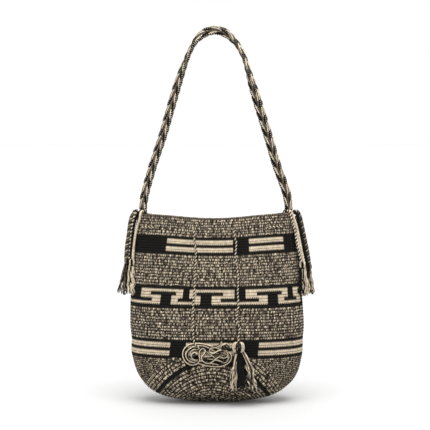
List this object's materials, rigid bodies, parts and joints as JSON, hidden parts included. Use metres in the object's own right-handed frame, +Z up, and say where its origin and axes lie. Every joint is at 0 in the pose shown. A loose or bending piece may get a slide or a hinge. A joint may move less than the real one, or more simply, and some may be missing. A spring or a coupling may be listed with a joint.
{
  "type": "crocheted wayuu shoulder bag with a braided strap and drawstring tassels",
  "caption": "Soft crocheted bucket bag, hollow, hung by a braided strap, with a drawstring round the mouth ending in a looped hank and a tassel.",
  "frame": {"origin": "under the top of the strap, where the bag hangs", "axes": "+Z up, -Y towards the front with the tassel, +X to the right as seen from the front"},
  "size_m": [0.3146, 0.1232, 0.6056],
  "materials": {
    "crochet": "crocheted cotton, black, cream and mottled",
    "braid": "braided cotton, black, cream and mottled",
    "mottled_yarn": "twisted black and cream yarn",
    "cream_yarn": "loose cream yarn",
    "black_yarn": "loose black yarn"
  },
  "bodies": {
    "root": {"bag_body": "crochet", "strap": "braid", "drawstring_round_mouth": "mottled_yarn", "drawstring_left": "mottled_yarn", "drawstring_right": "mottled_yarn", "cord_hank": "cream_yarn", "cord_knot": "mottled_yarn", "front_tassel": "cream_yarn", "left_rope": "mottled_yarn", "left_mottled_cord": "mottled_yarn", "left_black_cord": "black_yarn", "left_cream_cord": "cream_yarn", "right_rope": "mottled_yarn", "right_black_cord": "black_yarn", "right_mottled_cord": "mottled_yarn", "right_cream_cord": "cream_yarn", "left_outer_tassel": "black_yarn", "left_inner_tassel": "cream_yarn", "right_outer_tassel": "black_yarn", "right_inner_tassel": "cream_yarn"}
  },
  "joints": []
}
